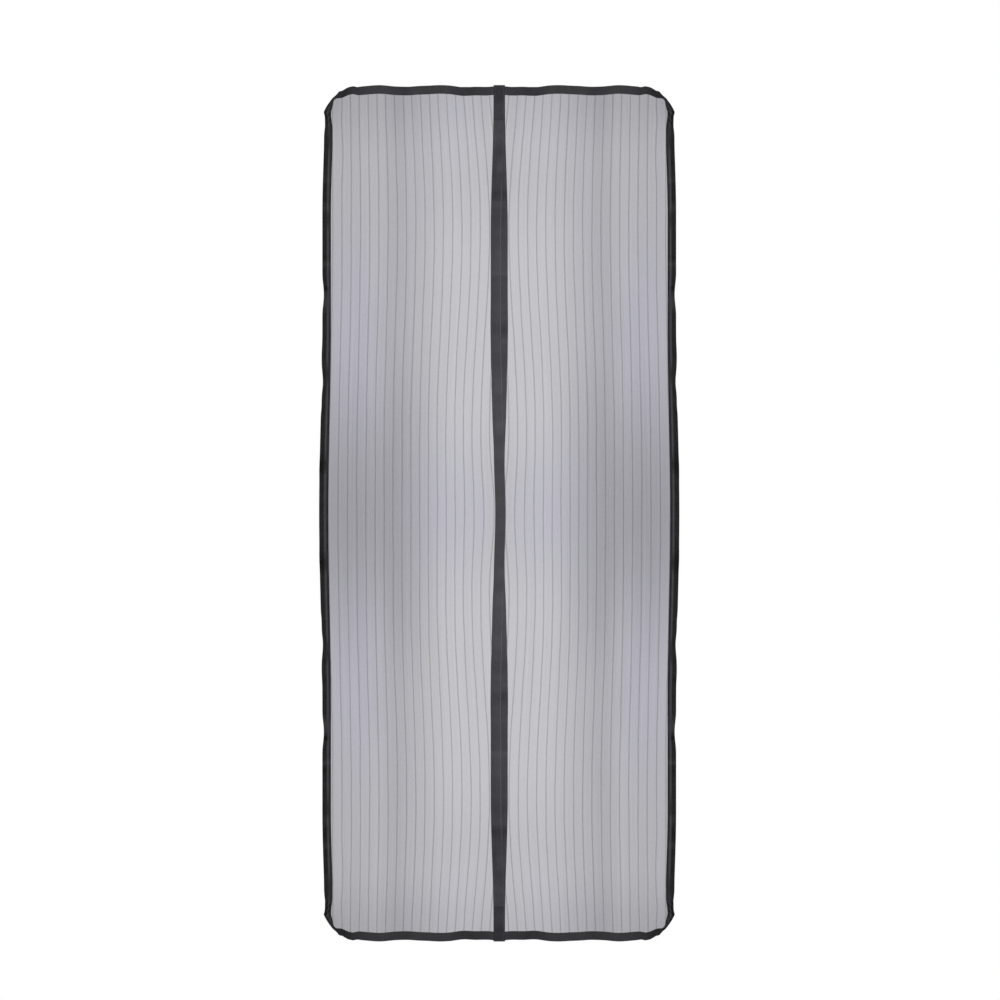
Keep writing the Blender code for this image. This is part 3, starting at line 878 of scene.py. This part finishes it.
def net_columns(leaf):
    """The net's upright lines from the outside in: each a rest place and a place for any height."""
    rests = stripe_rest_places()
    hem = LEAF_WIDTH - HEM_SHARE * SIDE_TAPE
    last = LAP_TOP - CENTRE_HEM

    def side_hem(z):
        return side_edge(z) + (side_inner(z) - side_edge(z)) * HEM_SHARE

    def lap_hem(z):
        return lap_edge(leaf, z) - CENTRE_HEM

    def stripe(rest):
        return lambda z: stripe_place(leaf, rest, z)

    def between(first, second, part):
        return lambda z: first(z) * (1 - part) + second(z) * part

    columns = []
    for part in np.arange(NET_BETWEEN) / NET_BETWEEN:
        columns.append((hem + (rests[0] - hem) * part, between(side_hem, stripe(rests[0]), part)))
    for outer, inner in zip(rests, rests[1:]):
        for part in np.arange(NET_BETWEEN) / NET_BETWEEN:
            rest = outer + (inner - outer) * part
            columns.append((rest, stripe(rest)))
    for part in np.linspace(0, 1, HEM_COLUMNS):
        columns.append((rests[-1] + (last - rests[-1]) * part, between(stripe(rests[-1]), lap_hem, part)))
    return columns


def add_net(label, leaf):
    """One leaf's net, a single layer of cloth whose threads run with its stripes."""
    edge_x, edge_z = net_top()
    columns = net_columns(leaf)
    levels = np.linspace(1, -1, NET_ROWS)
    lines = []
    for i, (rest, place) in enumerate(columns):
        top = CORNER_POINT if i == 0 else np.interp(place(HALF_HEIGHT), edge_x, edge_z)
        z = top * levels
        x = place(z)
        lines.append(np.column_stack((x, net_y(leaf, x, z), z, np.full(NET_ROWS, rest))))
    cloth = np.stack(lines, axis=1).reshape(-1, 4)
    x, y, z, rest = cloth.T
    net = add_piece(
        f"{label}_net", np.column_stack((leaf["side"] * x, y, z)), grid_faces(NET_ROWS, len(columns)),
        [MATERIALS["net"]], uv=np.column_stack((rest, z)), turned=leaf["side"] > 0,
        values={"cover": thread_cover(net_grey(x, z)), "violet": net_violet(x, z)},
    )
    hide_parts(f"{label}_mesh_panel")
    return net


def add_stripes(label, leaf):
    """The stripes woven into one leaf: each is a few thick dark yarns side by side."""
    edge_x, edge_z = net_top()
    levels = np.linspace(1, -1, NET_ROWS // 2)
    points = []
    faces = []
    uv = []
    for number, rest in enumerate(stripe_rest_places()):
        top = np.interp(stripe_place(leaf, rest, HALF_HEIGHT), edge_x, edge_z)
        z = top * levels
        sway = wander(z, STRIPE_WANDER_PITCH, STRIPE_WANDER_TURN * number)
        middle = stripe_place(leaf, rest, z) + STRIPE_WANDER * sway
        for yarn in range(YARNS):
            x = middle + (yarn - (YARNS - 1) / 2) * YARN_GAP
            y = net_y(leaf, x, z)
            start = len(points)
            for i in range(len(z)):
                for across, out in ((-1, 0), (0, -1), (1, 0), (0, 1)):
                    points.append((leaf["side"] * (x[i] + across * YARN / 2), y[i] + out * YARN / 2, z[i]))
                    uv.append((across * YARN / 2, z[i]))
            faces += [tuple(start + k for k in face) for face in tube_faces(len(z), THREAD_SIDES)]
    materials = [MATERIALS["yarn"]]
    return add_piece(f"{label}_net_stripes", points, faces, materials, uv, turned=leaf["side"] > 0)


# Hook and loop strips

# Cross-section as shares of the width and of the thickness, going round
STRIP_SECTION = (
    (-0.5, 0.0), (-0.495, 0.0), (0.0, 0.0), (0.495, 0.0), (0.5, 0.06), (0.5, 0.42), (0.49, 0.5),
    (0.44, 0.5), (0.43, 0.92), (0.4, 1.0), (0.2, 1.0), (0.0, 1.0), (-0.2, 1.0), (-0.4, 1.0),
    (-0.43, 0.92), (-0.44, 0.5), (-0.49, 0.5), (-0.5, 0.42), (-0.5, 0.06),
)
# Each kind of strip: the depth of its plain side and of its pile, and the finishes of pile and back
STRIPS = {
    "hook": (0.0, -HOOK_THICK, ("hook", "adhesive")),
    "loop": (-LOOP_FRONT, -HOOK_THICK - CLEARANCE, ("loop",)),
}
BACK_FACES = 3


def add_strip(name, kind, line, across):
    """A strip with a plain flat side and a raised pile, between thin selvedges, on the other."""
    y_flat, y_pile, finishes = STRIPS[kind]
    points = []
    uv = []
    for (x, z), along in zip(line, lengths_along(line)):
        for share, rise in STRIP_SECTION:
            shift = share * STRIP_WIDTH
            y = y_flat + (y_pile - y_flat) * rise
            points.append((x + across[0] * shift, y, z + across[1] * shift))
            uv.append((along, shift))
    columns = len(STRIP_SECTION)
    faces = tube_faces(len(line), columns)
    indices = [int(face[0] % columns < BACK_FACES) * (len(finishes) - 1) for face in faces[:-2]] + [0, 0]
    ahead = line[1] - line[0]
    turned = (across[0] * ahead[1] - across[1] * ahead[0]) * (y_pile - y_flat) < 0
    materials = [MATERIALS[finish] for finish in finishes]
    strip = add_piece(name, points, faces, materials, uv, turned=turned, indices=indices)
    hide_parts(f"{name}_strip")
    return strip


def side_strip_line(leaf):
    """Centre line of the strips behind a side tape."""
    heights = np.linspace(SIDE_STRIP_END, -SIDE_STRIP_END, SIDE_STRIP_POINTS)
    return np.column_stack((leaf["side"] * (side_edge(heights) + side_inner(heights)) / 2, heights))


def head_loop_line(leaf):
    """Centre line of the loop strip behind a top tape, short of where the left leaf steps out."""
    places = np.linspace(LOOP_START, HEAD_STRIP_END, HEAD_LOOP_POINTS)
    return np.column_stack((leaf["side"] * places, top_edge(places) - TOP_TAPE / 2))


# Materials

# Thread spacings in metres: the twill's rib and the net's hole, which is drawn at its real size with soft
# edges. The real rows of hooks are about 0.8 mm apart and are drawn twice as far apart, so that they show
TWILL = 0.0011
NET_HOLE = 0.00136
HOOK_ROW = 0.0016


def linear(code):
    """An sRGB hex colour as linear red, green, blue and alpha."""
    return (*(float(light_level(int(code[i : i + 2], 16) / 255)) for i in (1, 3, 5)), 1.0)


def add_node(tree, kind, inputs=None, out=0, **settings):
    """Adds a shader node, sets its properties, gives its inputs values or links, returns one output."""
    node = tree.nodes.new("ShaderNode" + kind)
    for name, value in settings.items():
        setattr(node, name, value)
    for name, value in (inputs or {}).items():
        if isinstance(value, bpy.types.NodeSocket):
            tree.links.new(value, node.inputs[name])
        else:
            node.inputs[name].default_value = value
    return node.outputs[out]


def new_material(name, **sockets):
    """A material with its main shader's sockets set, and its node tree."""
    material = bpy.data.materials.new(name)
    material.use_nodes = True
    shader = material.node_tree.nodes["Principled BSDF"]
    for socket, value in sockets.items():
        shader.inputs[socket.replace("_", " ")].default_value = value
    return material, material.node_tree


def link_shader(material, **sources):
    """Links patterns to sockets of a material's main shader, and returns the material."""
    shader = material.node_tree.nodes["Principled BSDF"]
    for socket, source in sources.items():
        material.node_tree.links.new(source, shader.inputs[socket.replace("_", " ")])
    return material


def finish_surface(material, tone, relief, dark, light, strength, depth):
    """Colours a material between two hex colours by its tone, and raises it by its relief."""
    tree = material.node_tree
    colour = add_node(tree, "Mix", {0: tone, 6: linear(dark), 7: linear(light)}, out=2, data_type="RGBA")
    bump = add_node(tree, "Bump", {"Height": relief, "Strength": strength, "Distance": depth})
    return link_shader(material, Base_Color=colour, Normal=bump)


def weighed(tree, value, patterns, less):
    """A value with weighed patterns added and an even amount taken off, kept between 0 and 1."""
    for pattern, weight in patterns:
        value = add_node(tree, "Math", {0: pattern, 1: weight, 2: value}, operation="MULTIPLY_ADD")
    return add_node(tree, "Math", {0: value, 1: less}, operation="SUBTRACT", use_clamp=True)


def cloth_place(tree):
    """The cloth's own coordinates in metres, together and then along and across its threads."""
    place = add_node(tree, "UVMap", uv_map="cloth")
    parts = add_node(tree, "SeparateXYZ", {0: place}).node.outputs
    return place, parts["X"], parts["Y"]


def thread_wave(tree, place, pitch):
    """A wave from 0 to 1 along one direction of the cloth, one crest to each thread."""
    turn = add_node(tree, "Math", {0: place, 1: 2 * math.pi / pitch}, operation="MULTIPLY")
    wave = add_node(tree, "Math", {0: turn}, operation="SINE")
    return add_node(tree, "Math", {0: wave, 1: 0.5, 2: 0.5}, operation="MULTIPLY_ADD")


def woven_tape(name, dark, light):
    """Polyester twill tape, woven and heat-set: matt, coloured by its shade attribute, which holds painted
    highlights on its raised ribs and folds and painted shade in some creases.
    """
    material, tree = new_material(name, IOR=1.57, Specular_IOR_Level=0.05)
    place, along, across = cloth_place(tree)
    weft = thread_wave(tree, along, TWILL)
    warp = thread_wave(tree, across, TWILL)
    grain = add_node(tree, "Math", {0: weft, 1: warp}, operation="MULTIPLY")
    mottle = add_node(tree, "TexNoise", {"Vector": place, "Scale": 70.0, "Detail": 3.0})
    shade = add_node(tree, "Attribute", out="Fac", attribute_name="shade")
    tone = weighed(tree, shade, ((mottle, 0.12), (grain, 0.06)), less=0.075)
    rough = add_node(tree, "MapRange", {"Value": mottle, "To Min": 0.8, "To Max": 0.96})
    link_shader(material, Roughness=rough)
    return finish_surface(material, tone, grain, dark, light, strength=0.5, depth=0.0002)


def polyester_net():
    """Polyester net, warp-knitted and heat-set: fine dark thread with white seen through its holes."""
    material, tree = new_material("knitted_polyester_net", Roughness=0.75, IOR=1.57, Specular_IOR_Level=0.2)
    place, across, up = cloth_place(tree)
    warp = thread_wave(tree, across, NET_HOLE)
    weft = thread_wave(tree, up, NET_HOLE)
    thread = add_node(tree, "Math", {0: warp, 1: weft}, operation="MAXIMUM")
    stretch = add_node(tree, "Mapping", {"Vector": place, "Scale": (260.0, 1.6, 1.0)})
    streak = add_node(tree, "TexNoise", {"Vector": stretch, "Scale": 1.0, "Detail": 2.0})
    cover = add_node(tree, "Attribute", out="Fac", attribute_name="cover")
    cover = weighed(tree, cover, ((thread, 0.3), (streak, 0.07)), less=0.248)
    violet = add_node(tree, "Attribute", out="Fac", attribute_name="violet")
    colours = {0: violet, 6: linear("#3d3a50"), 7: linear("#423d68")}
    colour = add_node(tree, "Mix", colours, out=2, data_type="RGBA")
    return link_shader(material, Base_Color=colour, Alpha=cover)


def plain_yarn(name, dark, light, pitch):
    """Twisted polyester yarn: matt and dark, with a faint twist along it."""
    material, tree = new_material(name, Roughness=0.8, IOR=1.57, Specular_IOR_Level=0.15)
    _, across, up = cloth_place(tree)
    along = add_node(tree, "Math", {0: up, 1: across}, operation="ADD")
    twist = thread_wave(tree, along, pitch)
    return finish_surface(material, twist, twist, dark, light, strength=0.4, depth=0.0001)


def loop_pile():
    """Nylon loop tape, knitted and napped: deep black, soft and without any gloss."""
    material, tree = new_material("napped_nylon_loop", Roughness=0.95, IOR=1.53, Specular_IOR_Level=0.08)
    place, _, _ = cloth_place(tree)
    nap = add_node(tree, "TexNoise", {"Vector": place, "Scale": 1400.0, "Detail": 4.0})
    return finish_surface(material, nap, nap, "#121214", "#313136", strength=0.8, depth=0.0004)


def moulded_hooks():
    """Polypropylene hook tape, extruded and slit: satin black rows of fine hooks."""
    material, tree = new_material("moulded_polypropylene_hook", Roughness=0.55, IOR=1.49)
    _, along, across = cloth_place(tree)
    rows = thread_wave(tree, across, HOOK_ROW)
    stubs = thread_wave(tree, along, HOOK_ROW)
    hooks = add_node(tree, "Math", {0: rows, 1: stubs}, operation="MULTIPLY")
    return finish_surface(material, hooks, hooks, "#141416", "#2c2c2f", strength=0.9, depth=0.0005)


def adhesive_film():
    """Acrylic adhesive, coated on the strip's back: a smooth dark film with faint ripples."""
    material, tree = new_material("coated_acrylic_adhesive", Roughness=0.35, IOR=1.47)
    place, _, _ = cloth_place(tree)
    ripple = add_node(tree, "TexNoise", {"Vector": place, "Scale": 260.0, "Detail": 2.0})
    return finish_surface(material, ripple, ripple, "#242322", "#3a3836", strength=0.3, depth=0.0003)


def bonded_ferrite():
    """Plastic-bonded ferrite, extruded and cut: dark grey, finely speckled, with a dull sheen."""
    material, tree = new_material("extruded_bonded_ferrite", Roughness=0.45, IOR=1.6)
    spot = add_node(tree, "TexCoord", out="Object")
    grain = add_node(tree, "TexNoise", {"Vector": spot, "Scale": 2500.0, "Detail": 3.0})
    return finish_surface(material, grain, grain, "#3a3836", "#55534f", strength=0.3, depth=0.0001)


def make_materials():
    """All the finishes by the names that the pieces use."""
    return {
        "edge tape": woven_tape("woven_polyester_edge_tape", "#0c0c0d", "#535256"),
        "centre tape": woven_tape("woven_polyester_centre_tape", "#121214", "#65646b"),
        "net": polyester_net(),
        "yarn": plain_yarn("twisted_polyester_yarn", "#1d1c22", "#34323b", pitch=0.0009),
        "thread": plain_yarn("spun_polyester_thread", "#242428", "#3e3e44", pitch=0.0006),
        "loop": loop_pile(),
        "hook": moulded_hooks(),
        "adhesive": adhesive_film(),
        "magnet": bonded_ferrite(),
    }


# The curtain


def leaf_seams(shapes):
    """The seams of a leaf's edge tapes and of its centre tape, each as its points and its face."""
    edge = []
    for part, face in (("side", -1.0), ("top", -1.0), ("bottom", -1.0), ("bottom", 1.0)):
        for share in EDGE_SEAMS:
            edge.append((seam_line(shapes[part], share, face, EDGE_SEAM_INSET), face))
    centre = []
    for face in (-1.0, 1.0):
        for share in (POCKET_SIDE_SEAM, CENTRE_HEM_SEAM):
            centre.append((seam_line(shapes["centre"], share, face, CENTRE_SEAM_INSET), face))
        for middle in magnet_heights():
            for way in (-1, 1):
                centre.append((cross_seam(shapes["centre"], middle + way * POCKET_SEAM, face), face))
    return {"edge": edge, "centre": centre}


def add_leaf(label, leaf, head_hook):
    """One leaf of the curtain: its net and stripes, its four tapes, its sewing and its strips."""
    net = add_net(label, leaf)
    stripes = add_stripes(label, leaf)
    shapes = {
        "side": side_tape(leaf),
        "top": end_tape(leaf, 1),
        "bottom": end_tape(leaf, -1),
        "centre": centre_tape(leaf),
    }
    for part, shape in shapes.items():
        kind = "centre" if part == "centre" else "edge"
        add_tape(f"{label}_{part}_tape", shape, MATERIALS[f"{kind} tape"])
        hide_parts(f"{label}_{part}_binding")
    for kind, seams in leaf_seams(shapes).items():
        add_stitches(f"{label}_{kind}_stitches", seams)

    side_hook = add_strip(f"{label}_side_hook", "hook", side_strip_line(leaf), (1, 0))
    for part, line, across, hook in (
        ("side", side_strip_line(leaf), (1, 0), side_hook),
        ("head", head_loop_line(leaf), (0, 1), head_hook),
    ):
        add_strip(f"{label}_{part}_loop", "loop", line, across)


def add_head_hook():
    """The hook strip along the door frame's head, straight from corner to corner."""
    places = np.linspace(-HEAD_STRIP_END, HEAD_STRIP_END, HEAD_HOOK_POINTS)
    return add_strip("head_hook", "hook", np.column_stack((places, np.full(len(places), -MIDDLE))), (0, 1))


def dress_magnets():
    """The magnets keep their shape from the frame and get their real finish."""
    for name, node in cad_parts.items():
        if "_magnet_" in name:
            node.data.materials.clear()
            node.data.materials.append(MATERIALS["magnet"])


# Studio

AMBIENT = 0.58
FLOOR_HALF = 30.0
FLOOR_DROP = 0.012
FLOOR_GLOW = 0.24
# Distances from the middle of the floor between which it turns plain white
FLOOR_FADE = (0.7, 2.2)
# Each lamp's place from the middle of the curtain, at which it aims, its size and its power
LAMPS = {
    "key": ((-2.2, -3.6, 1.6), 2.6, 78),
    "fill": ((2.6, -3.2, 0.4), 2.6, 38),
    "back": ((0.4, 3.4, 1.8), 2.4, 60),
}
# The photograph: metres to a pixel, pixels across, and the pixel where the curtain's middle lies
PIXEL = 0.002457
IMAGE = 1000
CENTRE_PIXEL = (499.25, 513.3)
CAMERA_AWAY = 6.0


def light_path_white(tree):
    """1 for rays that see the backdrop straight, mirrored or through glass, and 0 for its light."""
    rays = add_node(tree, "LightPath").node.outputs
    seen = add_node(tree, "Math", {0: rays["Is Camera Ray"], 1: rays["Is Glossy Ray"]}, operation="ADD")
    either = {0: seen, 1: rays["Is Transmission Ray"]}
    return add_node(tree, "Math", either, operation="ADD", use_clamp=True)


def add_world():
    """A backdrop that looks white and lights the curtain more softly than that."""
    world = bpy.data.worlds.new("studio")
    bpy.context.scene.world = world
    world.use_nodes = True
    tree = world.node_tree
    level = add_node(tree, "MapRange", {"Value": light_path_white(tree), "To Min": AMBIENT, "To Max": 1.0})
    background = tree.nodes["Background"]
    background.inputs["Color"].default_value = linear("#ffffff")
    tree.links.new(level, background.inputs["Strength"])


def add_floor():
    """A pale matt floor just below the curtain, which turns plain white for the camera away from it."""
    corners = [(x * FLOOR_HALF, y * FLOOR_HALF, 0) for x, y in ((-1, -1), (1, -1), (1, 1), (-1, 1))]
    mesh = bpy.data.meshes.new("floor")
    mesh.from_pydata(corners, [], [(0, 1, 2, 3)])
    floor = add_object("floor", mesh)
    floor.location.z = LOWEST - FLOOR_DROP
    white = linear("#ffffff")
    material, tree = new_material(
        "painted_floor", Roughness=0.9, Specular_IOR_Level=0.0, Emission_Color=white
    )
    spot = add_node(tree, "TexCoord", out="Object")
    grain = add_node(tree, "TexNoise", {"Vector": spot, "Scale": 3.0})
    paints = {0: grain, 6: linear("#f0f0f0"), 7: linear("#f5f5f5")}
    paint = add_node(tree, "Mix", paints, out=2, data_type="RGBA")
    away = add_node(tree, "VectorMath", {0: spot}, out="Value", operation="LENGTH")
    fade_out = {"Value": away, "From Min": FLOOR_FADE[0], "From Max": FLOOR_FADE[1]}
    away = add_node(tree, "MapRange", fade_out)
    seen = light_path_white(tree)
    blank = add_node(tree, "Math", {0: seen, 1: away}, operation="MULTIPLY")
    glow = add_node(tree, "MapRange", {"Value": away, "To Min": FLOOR_GLOW, "To Max": 1.0})
    glow = add_node(tree, "Math", {0: seen, 1: glow}, operation="MULTIPLY")
    colours = {0: blank, 6: paint, 7: linear("#000000")}
    colour = add_node(tree, "Mix", colours, out=2, data_type="RGBA")
    mesh.materials.append(link_shader(material, Base_Color=colour, Emission_Strength=glow))


def add_lamp(name, away, size, power):
    """A large soft square lamp, aimed at the middle of the curtain."""
    light = bpy.data.lights.new(name, "AREA")
    light.shape = "SQUARE"
    light.size = size
    light.energy = power
    lamp = add_object(name, light)
    lamp.location = (away[0], away[1], MIDDLE + away[2])
    tilt = math.atan2(math.hypot(away[0], away[1]), away[2])
    lamp.rotation_euler = (tilt, 0.0, math.atan2(away[1], away[0]) + math.pi / 2)


def add_camera():
    """A camera straight in front, without perspective, framed as the photograph is."""
    data = bpy.data.cameras.new("camera")
    data.type = "ORTHO"
    data.ortho_scale = PIXEL * IMAGE
    camera = add_object("camera", data)
    across = (IMAGE / 2 - CENTRE_PIXEL[0]) * PIXEL
    up = (CENTRE_PIXEL[1] - IMAGE / 2) * PIXEL
    camera.location = (across, -CAMERA_AWAY, MIDDLE + up)
    camera.rotation_euler = (math.pi / 2, 0, 0)
    bpy.context.scene.camera = camera


bpy.context.scene.view_settings.view_transform = "Standard"
MATERIALS = make_materials()
add_camera()
add_world()
add_floor()
for name, (away, size, power) in LAMPS.items():
    add_lamp(name, away, size, power)
head_hook = add_head_hook()
for label, leaf in LEAVES.items():
    add_leaf(label, leaf, head_hook)
dress_magnets()
